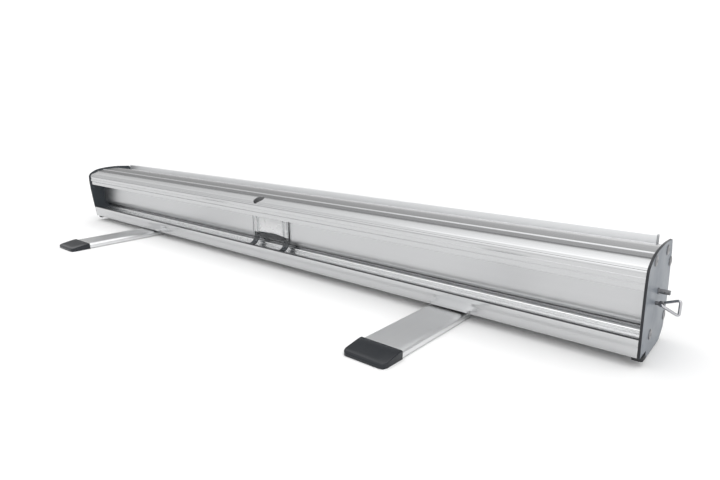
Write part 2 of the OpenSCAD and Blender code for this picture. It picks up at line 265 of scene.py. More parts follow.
print("prism, turned and tube_along ready")

# %% Cut one solid with another
def cut(shape, *tools):
    """The shape's points and faces after the tools are cut out of it."""
    body = new_piece("cutting", *shape, None)
    for tool_shape in tools:
        tool = new_piece("tool", *tool_shape, None)
        cutter = body.modifiers.new("cut", "BOOLEAN")
        cutter.operation, cutter.solver, cutter.object = "DIFFERENCE", "EXACT", tool
        result = bpy.data.meshes.new_from_object(
            body.evaluated_get(bpy.context.evaluated_depsgraph_get()))
        body.modifiers.clear()
        body.data = result
        bpy.data.objects.remove(tool)
    points = [tuple(v.co / MM) for v in body.data.vertices]
    faces = [list(face.vertices) for face in body.data.polygons]
    bpy.data.objects.remove(body)
    return points, faces


print("cutting ready")

# %% [markdown]
# ## Effects that several finishes share
# A shader node group is a small machine with named knobs. Each effect below is built once and
# then placed in every finish that needs it, with its own settings. They only put out masks;
# the shader itself stays in each material, where its plain settings can be read.

# %% Build a node group
def effect(name, inputs, outputs):
    """An empty group with named inputs {name: (kind, value)} and outputs."""
    tree = bpy.data.node_groups.new(name, "ShaderNodeTree")
    for title, (kind, value) in inputs.items():
        socket = tree.interface.new_socket(title, in_out="INPUT", socket_type="NodeSocket" + kind)
        socket.default_value = value
    for title in outputs:
        tree.interface.new_socket(title, in_out="OUTPUT", socket_type="NodeSocketFloat")
    return tree, tree.nodes.new("NodeGroupInput"), tree.nodes.new("NodeGroupOutput")


def add(tree, kind, **settings):
    node = tree.nodes.new("ShaderNode" + kind)
    for key, value in settings.items():
        setattr(node, key, value)
    return node


def stretched(tree, amount):
    """Object coordinates multiplied by the amount, so a pattern can be drawn out along an axis."""
    where = add(tree, "TexCoord")
    times = add(tree, "VectorMath", operation="MULTIPLY")
    tree.links.new(where.outputs["Object"], times.inputs[0])
    tree.links.new(amount, times.inputs[1])
    return times.outputs[0]


def ranged(tree, value, low, high, to_low=0.0, to_high=1.0):
    node = add(tree, "MapRange")
    tree.links.new(value, node.inputs["Value"])
    limits = {"From Min": low, "From Max": high, "To Min": to_low, "To Max": to_high}
    for name, number in limits.items():
        node.inputs[name].default_value = number
    return node.outputs["Result"]


def noise(tree, where, scale, detail=3.0):
    node = add(tree, "TexNoise")
    node.inputs["Detail"].default_value = detail
    node.inputs["Scale"].default_value = scale
    tree.links.new(where, node.inputs["Vector"])
    return node.outputs["Fac"]


print("node helpers ready")

# %% [markdown]
# Die lines are the hair-thin streaks that an extrusion keeps from its die: noise stretched a
# thousand times along the metal. Broad bands in them are wider streaks of a duller tone.

# %% Effect: die lines
die_lines, knobs, out = effect("die lines", {"Stretch": ("Vector", (1, 900, 900))},
                               ["Lines", "Bands"])
run = stretched(die_lines, knobs.outputs["Stretch"])
for scale, detail, output in ((2.2, 4.0, "Lines"), (0.16, 1.5, "Bands")):
    streaks = ranged(die_lines, noise(die_lines, run, scale, detail), 0.3, 0.7)
    die_lines.links.new(streaks, out.inputs[output])
print("die lines:", len(die_lines.nodes), "nodes")

# %% [markdown]
# Handling marks are the faint cloudy patches that fingers and a carrying bag leave. They move
# the roughness more than the colour. Dust is finer, and sits in patches.

# %% Effect: handling marks and dust
handling, knobs, out = effect("handling marks", {"Size": ("Float", 14.0)}, ["Marks", "Dust"])
where = add(handling, "TexCoord")
cloud = add(handling, "TexNoise")
cloud.inputs["Detail"].default_value = 5.0
handling.links.new(where.outputs["Object"], cloud.inputs["Vector"])
handling.links.new(knobs.outputs["Size"], cloud.inputs["Scale"])
handling.links.new(ranged(handling, cloud.outputs["Fac"], 0.42, 0.72), out.inputs["Marks"])
speck = noise(handling, where.outputs["Object"], 1400.0, 2.0)
patch = add(handling, "Math", operation="MULTIPLY")
handling.links.new(ranged(handling, speck, 0.62, 0.75), patch.inputs[0])
handling.links.new(cloud.outputs["Fac"], patch.inputs[1])
handling.links.new(patch.outputs[0], out.inputs["Dust"])
print("handling marks:", len(handling.nodes), "nodes")

# %% [markdown]
# Moulded plastic and sprayed paint are never perfectly smooth: a mould is spark-eroded to a
# fine grain, and paint dries with a soft orange peel. One group gives both, by its scale.

# %% Effect: moulded grain
grain, knobs, out = effect("moulded grain", {"Scale": ("Float", 1500.0)}, ["Height", "Tone"])
where = add(grain, "TexCoord")
pebble = add(grain, "TexVoronoi", feature="SMOOTH_F1")
grain.links.new(where.outputs["Object"], pebble.inputs["Vector"])
grain.links.new(knobs.outputs["Scale"], pebble.inputs["Scale"])
haze = noise(grain, where.outputs["Object"], 30.0, 4.0)
grain.links.new(pebble.outputs["Distance"], out.inputs["Height"])
grain.links.new(ranged(grain, haze, 0.3, 0.7), out.inputs["Tone"])
print("moulded grain:", len(grain.nodes), "nodes")

# %% [markdown]
# Edges rub first: paint thins and anodising brightens along them. On the foot caps the same
# mask lays on a painted highlight. The Bevel node gives the normal that a rounded edge would
# have; where it differs from the true one, an edge is near.

# %% Effect: rubbed edges
rubbed, knobs, out = effect("rubbed edges", {"Width": ("Float", 0.0006)}, ["Rub"])
round_off = add(rubbed, "Bevel", samples=4)
rubbed.links.new(knobs.outputs["Width"], round_off.inputs["Radius"])
truth = add(rubbed, "NewGeometry")
match = add(rubbed, "VectorMath", operation="DOT_PRODUCT")
rubbed.links.new(round_off.outputs["Normal"], match.inputs[0])
rubbed.links.new(truth.outputs["Normal"], match.inputs[1])
patchy = noise(rubbed, stretched(rubbed, knobs.outputs["Width"]), 2.0e5, 2.0)
edge = ranged(rubbed, match.outputs["Value"], 0.995, 0.8)
both = add(rubbed, "Math", operation="MULTIPLY")
rubbed.links.new(edge, both.inputs[0])
rubbed.links.new(ranged(rubbed, patchy, 0.3, 0.6, 0.4, 1.0), both.inputs[1])
rubbed.links.new(both.outputs[0], out.inputs["Rub"])
print("rubbed edges:", len(rubbed.nodes), "nodes")

# %% [markdown]
# ## Finishes
# Each finish starts the same way: a Principled shader with its constants on its own sockets.
# Then a group or two varies the colour, the roughness and the bump over the surface.

# %% A finish to build on
def finish(name, colour, roughness, metallic=0.0, **constants):
    material = bpy.data.materials.new(name)
    material.use_nodes = True
    shader = material.node_tree.nodes["Principled BSDF"]
    shader.inputs["Base Color"].default_value = (*colour, 1.0)
    shader.inputs["Roughness"].default_value = roughness
    shader.inputs["Metallic"].default_value = metallic
    for socket, value in constants.items():
        shader.inputs[socket.replace("_", " ")].default_value = value
    material.diffuse_color = (*colour, 1.0)
    return material


def place(material, tree, **values):
    node = add(material.node_tree, "Group", node_tree=tree)
    for socket, value in values.items():
        node.inputs[socket].default_value = value
    return node


def shaded(material, mask, light, dark, share=1.0):
    """The colour goes from light to dark as the mask goes from 0 to 1."""
    tree = material.node_tree
    mix = add(tree, "Mix", data_type="RGBA")
    mix.inputs[6].default_value, mix.inputs[7].default_value = (*light, 1), (*dark, 1)
    tree.links.new(ranged(tree, mask, 0, 1, 0, share), mix.inputs[0])
    return mix.outputs[2]


def roughened(material, mask, low, high):
    tree = material.node_tree
    shader = tree.nodes["Principled BSDF"]
    tree.links.new(ranged(tree, mask, 0, 1, low, high), shader.inputs["Roughness"])


def bumped(material, height, strength, depth):
    tree = material.node_tree
    bump = add(tree, "Bump")
    bump.inputs["Strength"].default_value = strength
    bump.inputs["Distance"].default_value = depth
    tree.links.new(height, bump.inputs["Height"])
    tree.links.new(bump.outputs["Normal"], tree.nodes["Principled BSDF"].inputs["Normal"])


def coloured(material, colour):
    tree = material.node_tree
    tree.links.new(colour, tree.nodes["Principled BSDF"].inputs["Base Color"])


print("finish helpers ready")

# %% [markdown]
# Satin anodised aluminium is a metal with a soft, even sheen. Its versions differ in the way
# their die lines run, along the cassette or along a foot, and in how bright and dull they are.

# %% Finish: anodised aluminium
SILVER, DULL = (0.565, 0.57, 0.577), (0.52, 0.525, 0.532)


ALONG_X, ALONG_Y = (1.2, 900, 900), (900, 1.2, 900)
BRIGHT_EDGE = (0.8, 0.8, 0.81)


def anodised(name, stretch, light=SILVER, dark=DULL, rough=(0.15, 0.21)):
    metal = finish(name, light, rough[0], 1.0)
    tree = metal.node_tree
    lines = place(metal, die_lines, Stretch=stretch)
    marks = place(metal, handling, Size=9.0)
    wear = place(metal, rubbed, Width=0.0004)
    tone = add(tree, "Mix", data_type="RGBA")
    tree.links.new(shaded(metal, lines.outputs["Bands"], light, dark, 0.3), tone.inputs[6])
    tone.inputs[7].default_value = (*BRIGHT_EDGE, 1)
    tree.links.new(wear.outputs["Rub"], tone.inputs[0])
    coloured(metal, tone.outputs[2])
    dulling = add(tree, "Math", operation="MULTIPLY_ADD")
    tree.links.new(marks.outputs["Marks"], dulling.inputs[0])
    dulling.inputs[1].default_value = 0.3
    tree.links.new(lines.outputs["Lines"], dulling.inputs[2])
    roughened(metal, dulling.outputs[0], *rough)
    bumped(metal, lines.outputs["Lines"], 0.05, 0.00001)
    return metal


aluminium = anodised("anodised_along_x", ALONG_X)
inner_aluminium = anodised("anodised_recess", ALONG_X, rough=(0.30, 0.36))
# Painted light: the recess floor is the same anodising as the rest of the base, made much brighter.
floor_aluminium_painted_light = anodised("anodised_floor_painted_light", ALONG_X, (0.88, 0.885, 0.89),
                           (0.84, 0.845, 0.85), (0.22, 0.28))
foot_aluminium = anodised("anodised_along_y", ALONG_Y, (0.74, 0.745, 0.75),
                          (0.70, 0.705, 0.71), (0.33, 0.38))
rail_aluminium = anodised("anodised_rail", ALONG_X, (0.88, 0.885, 0.89),
                          (0.84, 0.84, 0.85), (0.36, 0.42))
tube_aluminium = anodised("anodised_tube", (6, 300, 300), (0.7, 0.7, 0.7), (0.5, 0.5, 0.5))
print("aluminium finishes made")

# %% [markdown]
# The end plates are sprayed blue-grey, with a faint orange peel and thin paint at the rubbed
# edges. Their inner face gets a darker copy of the paint, painted shade for the recess it
# faces, and their cut edge is nearly black.

# %% Finish: plate paint and its dark edge
def painted(name, colour, dark, rough, peel=420.0, depth=0.00004, rub_and_highlight=(0.5, 0.52, 0.55)):
    paint = finish(name, colour, rough, 0.0, Coat_Weight=0.06, Coat_Roughness=0.2,
                   Specular_IOR_Level=0.35)
    tree = paint.node_tree
    skin = place(paint, grain, Scale=peel)
    marks = place(paint, handling, Size=24.0)
    wear = place(paint, rubbed, Width=0.00035)
    mix = add(tree, "Mix", data_type="RGBA")
    tree.links.new(shaded(paint, skin.outputs["Tone"], colour, dark), mix.inputs[6])
    mix.inputs[7].default_value = (*rub_and_highlight, 1)
    tree.links.new(ranged(tree, wear.outputs["Rub"], 0, 1, 0, 0.5), mix.inputs[0])
    coloured(paint, mix.outputs[2])
    roughened(paint, marks.outputs["Marks"], rough - 0.05, rough + 0.12)
    bumped(paint, skin.outputs["Height"], 0.3, depth)
    return paint


plate_paint = painted("plate_paint", (0.152, 0.172, 0.198), (0.138, 0.156, 0.180), 0.42)
# Painted shade: the inner face's paint is the same blue-grey, darkened for the recess it faces.
plate_inside_painted_shade = painted("plate_inside_painted_shade", (0.040, 0.048, 0.056), (0.033, 0.040, 0.047), 0.42,
                       rub_and_highlight=(0.12, 0.13, 0.14))
plate_edge = painted("plate_edge", (0.018, 0.02, 0.024), (0.012, 0.013, 0.016), 0.4,
                     rub_and_highlight=(0.08, 0.085, 0.09))
print("plate finishes made")

# %% [markdown]
# Plastics and rubber differ in tone, gloss and grain: glossy charcoal for the foot caps, with a
# painted highlight along their edges, grey for the rail's caps and the lining of the pole's hole,
# milky nylon inside, dull black rubber under the corners. The top edge of the front lip gets a
# painted shadow: a dark line, as if it looked into a groove.

# %% Finish: plastics, rubber and film
DUST_TONE = (0.42, 0.41, 0.40)


def moulded(name, colour, dark, rough, scale=1500.0, depth=0.00003, dust=0.12, **constants):
    plastic = finish(name, colour, rough, 0.0, **constants)
    tree = plastic.node_tree
    skin = place(plastic, grain, Scale=scale)
    marks = place(plastic, handling, Size=30.0)
    mix = add(tree, "Mix", data_type="RGBA")
    tree.links.new(shaded(plastic, skin.outputs["Tone"], colour, dark), mix.inputs[6])
    mix.inputs[7].default_value = (*DUST_TONE, 1)
    tree.links.new(ranged(tree, marks.outputs["Dust"], 0, 1, 0, dust), mix.inputs[0])
    coloured(plastic, mix.outputs[2])
    roughened(plastic, marks.outputs["Marks"], rough, rough + 0.14)
    bumped(plastic, skin.outputs["Height"], 0.35, depth)
    return plastic


# The caps' light edge colour is a painted highlight along their edges, laid on by the rubbed-edge
# mask.
charcoal = painted("charcoal_plastic", (0.011, 0.014, 0.018), (0.009, 0.011, 0.015), 0.16,
                   1500.0, 0.00001, (0.55, 0.56, 0.58))
rail_grey = moulded("grey_plastic", (0.46, 0.47, 0.48), (0.40, 0.41, 0.42), 0.42)
sleeve_grey = moulded("sleeve_plastic", (0.13, 0.132, 0.136), (0.11, 0.112, 0.115), 0.4)
black_plastic = moulded("black_plastic", (0.03, 0.03, 0.032), (0.022, 0.022, 0.023), 0.5)
nylon = moulded("natural_nylon", (0.74, 0.72, 0.66), (0.68, 0.66, 0.60), 0.45, 900.0)
rubber = moulded("pad_rubber", (0.010, 0.011, 0.013), (0.007, 0.008, 0.009), 0.5, 1100.0,
                 0.00004, 0.08)
# Painted shadow: a dark finish laid on the front lip's top edge.
lip_top_painted_shadow = moulded("groove_shadow", (0.05, 0.052, 0.056), (0.04, 0.042, 0.045), 0.5, dust=0.05)
film = moulded("banner_film", (0.86, 0.86, 0.85), (0.83, 0.83, 0.82), 0.5, 2600.0, 0.00001, 0.05)
print("plastic, rubber and film finishes made")

# %% [markdown]
# Screws, nuts and washers are zinc-plated and a little cloudy. The arbor is dark drawn steel
# and the pull ring bright nickel wire. Metal that is turned or drawn shows fine rings.

# %% Finish: plated and bright metals
def plated(name, colour, dark, rough, size=60.0, stretch=(400, 400, 400)):
    metal = finish(name, colour, rough, 1.0)
    tree = metal.node_tree
    marks = place(metal, handling, Size=size)
    lines = place(metal, die_lines, Stretch=stretch)
    coloured(metal, shaded(metal, marks.outputs["Marks"], colour, dark, 0.8))
    roughened(metal, lines.outputs["Lines"], rough, rough + 0.12)
    bumped(metal, lines.outputs["Lines"], 0.25, 0.00001)
    return metal


zinc = plated("zinc_plate", (0.66, 0.67, 0.68), (0.46, 0.47, 0.50), 0.26)
dark_steel = plated("dark_drawn_steel", (0.24, 0.24, 0.25), (0.14, 0.14, 0.15), 0.3)
spring_steel = plated("spring_steel", (0.36, 0.36, 0.38), (0.22, 0.22, 0.23), 0.28)
nickel = plated("nickel_wire", (0.48, 0.48, 0.50), (0.36, 0.36, 0.38), 0.07, 90.0)
screw_steel = plated("screw_steel", (0.26, 0.26, 0.27), (0.16, 0.16, 0.16), 0.3)
print("plated finishes made")

# %% [markdown]
# The pole clip is clear polycarbonate. It keeps plain transmission; only faint clouding of its
# roughness and a moulded ripple make it read as plastic and not as glass. Its front face is
# frosted. Its hem, its lower part and the feet's end faces are tinted dark: painted shade, for
# the dark of the recess seen through them.

# %% Finish: clear plastic
clear = finish("clear_polycarbonate", (0.95, 0.97, 0.98), 0.05, 0.0,
               Transmission_Weight=1.0, IOR=1.46)
frosted = finish("clear_frosted", (0.95, 0.955, 0.96), 0.3, 0.0,
                 Transmission_Weight=0.3, IOR=1.46)
# Painted shade: a dark tint for the clip's hem, lower part and feet ends.
clip_painted_shade = finish("clear_painted_shade", (0.10, 0.11, 0.12), 0.08, 0.0,
                     Transmission_Weight=0.8, IOR=1.46)
for plastic, low, high in ((clear, 0.04, 0.16), (frosted, 0.25, 0.4), (clip_painted_shade, 0.06, 0.2)):
    roughened(plastic, place(plastic, handling, Size=60.0).outputs["Marks"], low, high)
ripple = place(clear, grain, Scale=160.0)
bumped(clear, ripple.outputs["Height"], 0.15, 0.0002)
print("clear plastics made")

# %% [markdown]
# ## The cassette's shell
# The top, the rounded shoulder and the wall behind the pole recess are one extrusion. Its
# section could be modelled by hand, but pushing the drawn section along X keeps every band
# dead straight, as extruding does. The pole's hole is then cut through the shoulder.

# %% The shell's section
SHOULDER = arc(-33.9, 75, 6.9, 178, 122, 8)
SHELL_SKIN = ([(-37.6, 63), (-40.1, 63), (-40.2, 67.7), (-39.9, 68.6), (-40.5, 72.7)] + SHOULDER
              + [(-33.2, 82.6), (-28.6, 84.5), (-23.4, 85.9), (-18.1, 86.7), (-8, 87.8),
                 (2, 88.4), (10, 87.3), (17.5, 85.2), (24.4, 82.2), (24.6, 79)])
RECESS_BACK = ([(-37.8, 63.2), (-36.4, 64.9), (-24, 64.6)] + arc(-23, 60.4, 4.2, 90, 0, 6)
               + [(-18.8, 48), (-18.8, 36.5), (-18.55, 33.2), (-17.8, 30.8), (-16.4, 29),
                  (-13.9, 27.3)])
RAISED_BAND = [(-40.95, 68.9), (-39.4, 68.8), (-39.6, 73.0), (-40.7, 72.6)]
POLE_X, POLE_Y, HOLE_R, GUIDE_R = -0.5, -33.2, 6.8, 6.2
SHELL_PORTS = [(16, 82.6), (-24.5, 82.6)]
BASE_PORTS = [(32.6, 69.8), (37.2, 21.6), (-10.8, 20.2)]
PORT_BORE, PORT_R = 1.8, 2.9


def port(y, z):
    """A round screw port, open along its length."""
    return turned([(-HALF, PORT_BORE), (-HALF, PORT_R), (HALF, PORT_R), (HALF, PORT_BORE)],
                  (y, z), closed=True, steps=24)


print("the path of the shell's skin has", len(SHELL_SKIN), "points")

# %% [markdown]
# A thin grey lining behind the hole lets the pole slide down on plastic. It is a ring of wall
# sections: each runs from the recess ceiling up to wherever the shoulder is at that point.

# %% The lining of the pole's hole
LINING_LOW, LINING_FRONT = 66.42, -3.75    # its foot, and how far forward it reaches
LINING_R = HOLE_R - 0.05
SHOULDER_LINE = [(-37, 81.07), (-33.2, 82.6), (-28.6, 84.5), (-23.4, 85.9)]


def shoulder_height(y):
    for (y0, z0), (y1, z1) in zip(SHOULDER_LINE, SHOULDER_LINE[1:]):
        if y <= y1:
            return z0 + (z1 - z0) * (y - y0) / (y1 - y0)
    return SHOULDER_LINE[-1][1]


def hole_lining(steps=48):
    first = asin(LINING_FRONT / LINING_R)
    sections = []
    for k in range(steps + 1):
        a = first + (pi - 2 * first) * k / steps
        low = [(POLE_X + r * cos(a), POLE_Y + r * sin(a)) for r in (GUIDE_R, LINING_R)]
        high = [(x, y, shoulder_height(y) - 0.15) for x, y in low]
        sections += [(*low[0], LINING_LOW), (*low[1], LINING_LOW), high[1], high[0]]
    faces = [[4 * k + i, 4 * k + (i + 1) % 4, 4 * k + 4 + (i + 1) % 4, 4 * k + 4 + i]
             for k in range(steps) for i in range(4)]
    return sections, faces + [[3, 2, 1, 0], [4 * steps + i for i in range(4)]]


print("the lining has", len(hole_lining()[0]), "points")

# %% The shell, with the pole's hole
def drill(low, high, radius, centre, steps=56):
    """A round bar standing up along Z, to cut a hole with."""
    return turned([(low, 0), (low, radius), (high, radius), (high, 0)], centre, "z", steps)


shoulder_hole = drill(75.2, 95, HOLE_R, (POLE_X, POLE_Y))
ceiling_hole = drill(60, 76, GUIDE_R, (POLE_X, POLE_Y))
skin = cut(prism(soften(wall(SHELL_SKIN, -WALL)), -HALF, HALF), shoulder_hole, ceiling_hole)
back = cut(prism(soften(wall(RECESS_BACK, WALL)), -HALF, HALF), ceiling_hole)
band = prism(soften(RAISED_BAND, 0.35), -HALF, HALF)
ridge = prism(arc(-18.1, 86.3, 1.1, 0, 345, 23), -HALF, HALF)
shell_parts = [skin, back, band, ridge] + [port(*spot) for spot in SHELL_PORTS] + [hole_lining()]
shell = new_piece("shell", *joined(shell_parts), aluminium)
RECESS_FINISH, LINING_FINISH = 1, 2
shell.data.materials.append(inner_aluminium)
shell.data.materials.append(sleeve_grey)
for face in shell.data.polygons:
    x, y, z = face.center / MM
    if -37.5 < y < -12 and z < 66.4 and face.normal.y < 0.3:
        face.material_index = RECESS_FINISH
    elif z > LINING_LOW and hypot(x - POLE_X, y - POLE_Y) < HOLE_R - 0.03:
        face.material_index = LINING_FINISH
settle(shell, "cassette", "anodised_aluminium", "cassette_shell")

# %% [markdown]
# ## The cassette's base
# The base carries the front lip, whose face is four flats, the recess floor with a bead along
# its back, the underside and the tall front wall. Each part of the section is a closed outline;
# where two meet they simply run into each other, hidden inside the metal.

# %% The base's section
LIP_FOOT, LIP_HEAD, LIP_WALL = (-36.0, BASE_Z), (-38.3, 24.0), 2.3
lip_face = [LIP_FOOT, (-37.05, 12), (-37.15, 17), (-38.15, 20.1)]
lip = lip_face + [LIP_HEAD, (LIP_HEAD[0] + LIP_WALL, 24.6), (LIP_FOOT[0] + LIP_WALL, BASE_Z)]
floor_strip = [(-36.0, FLOOR_Z - WALL), (-11.0, FLOOR_Z - WALL), (-11.0, FLOOR_Z),
               (-13.6, FLOOR_Z), (-17.0, 20.9), (-17.6, 20.2), (-18.8, 20.2),
               (-19.4, FLOOR_Z), (-36.0, FLOOR_Z)]
underside = [(-35.6, BASE_Z), (34.5, BASE_Z), (34.5, BASE_Z + WALL), (-35.6, BASE_Z + WALL)]
web = [(-12.5, BASE_Z + 1), (-11, BASE_Z + 1), (-11, 20), (-12.5, 20)]
FRONT = [(34, BASE_Z), (41, 17.5), (42, 34), (41, 45), (38.6, 57), (36.9, 68), (36.1, 78),
         (35.6, 82)]
upstand = [(-12.9, 20), (-11.4, 20), (-11.4, 26.2), (-12.2, 26.7), (-13.5, 26.7), (-13.15, 25.5),
           (-12.4, 25.25), (-12.4, 24.75), (-12.9, 24.5)]
bead = arc(-15.1, 22.9, 1.6, 0, 180, 12) + arc(-15.1, 21.8, 1.6, 180, 360, 12)
sections = [soften(lip, 0.25, 5), soften(floor_strip), underside, web,
            soften(wall(FRONT, WALL), 0.4), bead, upstand]
print("the base has", len(sections), "sections side by side")

# %% The base, with the pole's socket in its floor
SOCKET_R, SOCKET_Y = 3.0, -32.2
base_parts = [prism(section, -HALF, HALF) for section in sections]
base_parts[1] = cut(base_parts[1], drill(17, 24, SOCKET_R, (POLE_X, SOCKET_Y), 40))
base_parts += [port(*spot) for spot in BASE_PORTS]
base = new_piece("base", *joined(base_parts), aluminium)
LIP_TOP_PAINTED_SHADOW, FLOOR_PAINTED_LIGHT = 1, 2
base.data.materials.append(lip_top_painted_shadow)
base.data.materials.append(floor_aluminium_painted_light)
for face in base.data.polygons:
    x, y, z = face.center / MM
    # The lip's top faces get the painted shadow.
    if y < -36.1 and z > 23.8 and face.normal.z > 0.9:
        face.material_index = LIP_TOP_PAINTED_SHADOW
    # The recess floor and bead get the brighter copy of the anodising, painted light.
    elif -36 < y < -13.5 and z > 19.8:
        face.material_index = FLOOR_PAINTED_LIGHT
settle(base, "cassette", "anodised_aluminium", "cassette_base")

# %% [markdown]
# ## End plates and their screws
# A plate is a flat blank that follows the section. Its outer face gets the paint, its inner
# face a darker copy of it as painted shade, and its cut edge the nearly black finish.

# %% End plates
PLATE_OUTLINE = ([(-35.6, 8.4), (-37.4, 20), (-38.9, 32), (-40.3, 45), (-41.5, 56), (-42.2, 66)]
                 + arc(-33.4, 74.6, 8.8, 176, 122, 8)
                 + [(-33, 85), (-27.5, 87.2), (-17.5, 89.0), (-3, 90), (10, 90.2), (22, 89.3)]
                 + arc(28.2, 84.6, 4.4, 78, 8, 6)
                 + [(35.5, 79.5), (37.6, 68), (39.6, 57), (42, 45), (43, 34), (42.6, 18)]
                 + arc(37, 12, 5, 0, -45, 3) + [(31, 2), (29, 1.2), (-16, 1.2), (-17, 8.4)])


FACES_X = 0.9       # a face whose normal has more X than this looks along the stand
PAINT_FINISH, EDGE_FINISH, INSIDE_PAINTED_SHADE = 0, 1, 2


def end_plate(side, name, node):
    outline = soften(PLATE_OUTLINE, 0.8)
    plate = new_piece(name, *prism(outline, side * HALF, side * OUTER, lip=0.2), plate_paint, 20)
    plate.data.materials.append(plate_edge)
    plate.data.materials.append(plate_inside_painted_shade)
    # Outer faces get the paint, inner faces its darker copy as painted shade, the rest the edge
    # finish.
    for face in plate.data.polygons:
        outward = face.normal.x * side
        face.material_index = EDGE_FINISH
        if outward > FACES_X:
            face.material_index = PAINT_FINISH
        elif outward < -FACES_X:
            face.material_index = INSIDE_PAINTED_SHADE
    return settle(plate, "cassette", "plate_paint", node)


end_plate(-1, "plate_left", "end_plate_left")
end_plate(1, "plate_right", "end_plate_right")

# %% [markdown]
# A low-headed screw is a turned disc with a cross recess cut into it. The cross is two tapered
# bars; cutting them out is simpler and truer than pulling faces about by hand.

# %% Low-headed screws
CROSS_TURN = 0.5    # radians that the cross is turned by


def cross_bar(turn):
    """One tapered bar of the recess, pointing in from the head's face."""
    near = [(-2.3, -0.5), (2.3, -0.5), (2.3, 0.5), (-2.3, 0.5)]
    far = [(u * 0.5, v * 0.6) for u, v in near]
    spun = [[(u * cos(turn) - v * sin(turn), u * sin(turn) + v * cos(turn)) for u, v in ring]
            for ring in (near, far)]
    points = [(OUTER + 2.2, *uv) for uv in spun[0]] + [(OUTER + 0.25, *uv) for uv in spun[1]]
    return points, [[0, 1, 2, 3], [7, 6, 5, 4]] + [[i, i + 4, (i + 1) % 4 + 4, (i + 1) % 4]
                                                  for i in range(4)]


head = [(OUTER - 12, 0), (OUTER - 12, 1.7), (OUTER, 1.7), (OUTER, 4.15), (OUTER + 0.3, 4.2),
        (OUTER + 0.6, 4.0), (OUTER + 0.85, 3.3), (OUTER + 1.0, 2.2), (OUTER + 1.05, 0)]
screw = cut(turned(head, (0, 0), steps=36), cross_bar(CROSS_TURN), cross_bar(CROSS_TURN + pi / 2))


def screws(side, name, node):
    parts = [([(side * x, y + sy, z + sz) for x, y, z in screw[0]], screw[1])
             for sy, sz in SHELL_PORTS + BASE_PORTS]
    return settle(new_piece(name, *joined(parts), screw_steel, 28), "cassette", "steel", node)


screws(-1, "screws_left", "end_screws_left")
screws(1, "screws_right", "end_screws_right")

# %% [markdown]
# ## Rubber pads under the corners
# A pad under the lip is a moulded block with rounded corners and three ribs on its outer face;
# the one at the other side is plain and reaches the floor. Pushing a rounded plan upwards with
# a chamfer at both ends gives the soft moulded look.

# %% Corner pads
def pad_plan(side, x_in, x_out, y_low, y_high, r):
    plan = [(x_in, y_low), (x_out, y_low), (x_out, y_high), (x_in, y_high)]
    return [(side * x, y) for x, y in soften(plan, r)]


pads = []
for side in (-1, 1):
    pads.append(prism(pad_plan(side, 425, 433.4, -32, -22, 2.4), 4.6, 8.1, "z", 0.3))
    pads.append(prism(pad_plan(side, 425.2, HALF, -31.8, -22.2, 0.6), 7, BASE_Z, "z"))
    for y in (-30.2, -27.0, -23.8):
        rib = [(432.9, y - 0.5), (433.6, y - 0.35), (433.6, y + 0.35), (432.9, y + 0.5)]
        pads.append(prism([(side * u, v) for u, v in rib], 5.2, 7.5, "z", 0.15))
    pads.append(prism(pad_plan(side, 424.3, 429.8, 24, 33, 1.5), 0, BASE_Z, "z", 0.35))
settle(new_piece("pads", *joined(pads), rubber), "cassette", "rubber", "corner_pads")

# %% [markdown]
# ## The slot's guard
# A plastic strip clipped over the shell's edge keeps the banner from rubbing on metal.

# %% Slot guard
GUARD = [(22.6, 76.4), (26.4, 76.4), (26.4, 80.6), (24.8, 80.6), (24.8, 78.95), (23.0, 78.95),
         (23.0, 80.6), (22.6, 80.6)]
settle(new_piece("guard", *prism(soften(GUARD, 0.5), -428, 428), black_plastic),
       "cassette", "black_plastic", "slot_guard")

# %% [markdown]
# ## The sprung end: arbor, collar and spring
# The arbor is a long steel rod with a screwdriver slot in its tip, for winding the spring up.
# The spring is a real helix here: a wire carried round and along the arbor.

# %% Arbor, with a hub for the spring and a slot in its tip
TIP, ARBOR_R, HUB_R, TIP_R, SLOT = 440.6, 2.5, 6.1, 1.9, 0.55
arbor_profile = [(222, 0), (222, ARBOR_R), (388, ARBOR_R), (388, HUB_R), (400, HUB_R),
                 (400, ARBOR_R), (OUTER + 0.8, ARBOR_R), (OUTER + 1, 2.3), (OUTER + 1, TIP_R),
                 (TIP - 0.5, TIP_R), (TIP, 1.4), (TIP, 0)]
slot_bar = prism([(-3.6, ROLLER_Z - SLOT), (3.6, ROLLER_Z - SLOT), (3.6, ROLLER_Z + SLOT),
                  (-3.6, ROLLER_Z + SLOT)], TIP - 4.2, TIP + 1)
arbor = cut(turned(arbor_profile, (0, ROLLER_Z)), slot_bar)
settle(new_piece("arbor", *arbor, dark_steel, 28), "cassette", "dark_steel", "spring_arbor")

# %% Collar inside the plate
collar = turned(soften([(426.8, ARBOR_R), (426.8, 5.5), (HALF, 5.5), (HALF, ARBOR_R)], 0.3),
                (0, ROLLER_Z), closed=True)
settle(new_piece("collar", *collar, zinc), "cassette", "steel", "arbor_collar")

# %% Torsion spring, wound as a helix
TURNS, TURN_STEPS, COIL_R, COIL_WIRE = 66, 20, 7.3, 1.05
COIL_START, COIL_LENGTH = 237.1, 161.8
helix = []
for i in range(TURNS * TURN_STEPS + 1):
    angle = 2 * pi * i / TURN_STEPS
    helix.append((COIL_START + COIL_LENGTH * i / (TURNS * TURN_STEPS), COIL_R * cos(angle),
                  ROLLER_Z + COIL_R * sin(angle)))
settle(new_piece("spring", *tube_along(helix, COIL_WIRE, 8), spring_steel), "roller", "steel",
       "torsion_spring")

# %% [markdown]
# ## The idler end: axle, washer and nut
# The thread is drawn as close rings, because at this size a ring and a helix look the same
# and the rings keep the mesh clean. The nut's corners are trimmed by a cone, as real ones are.

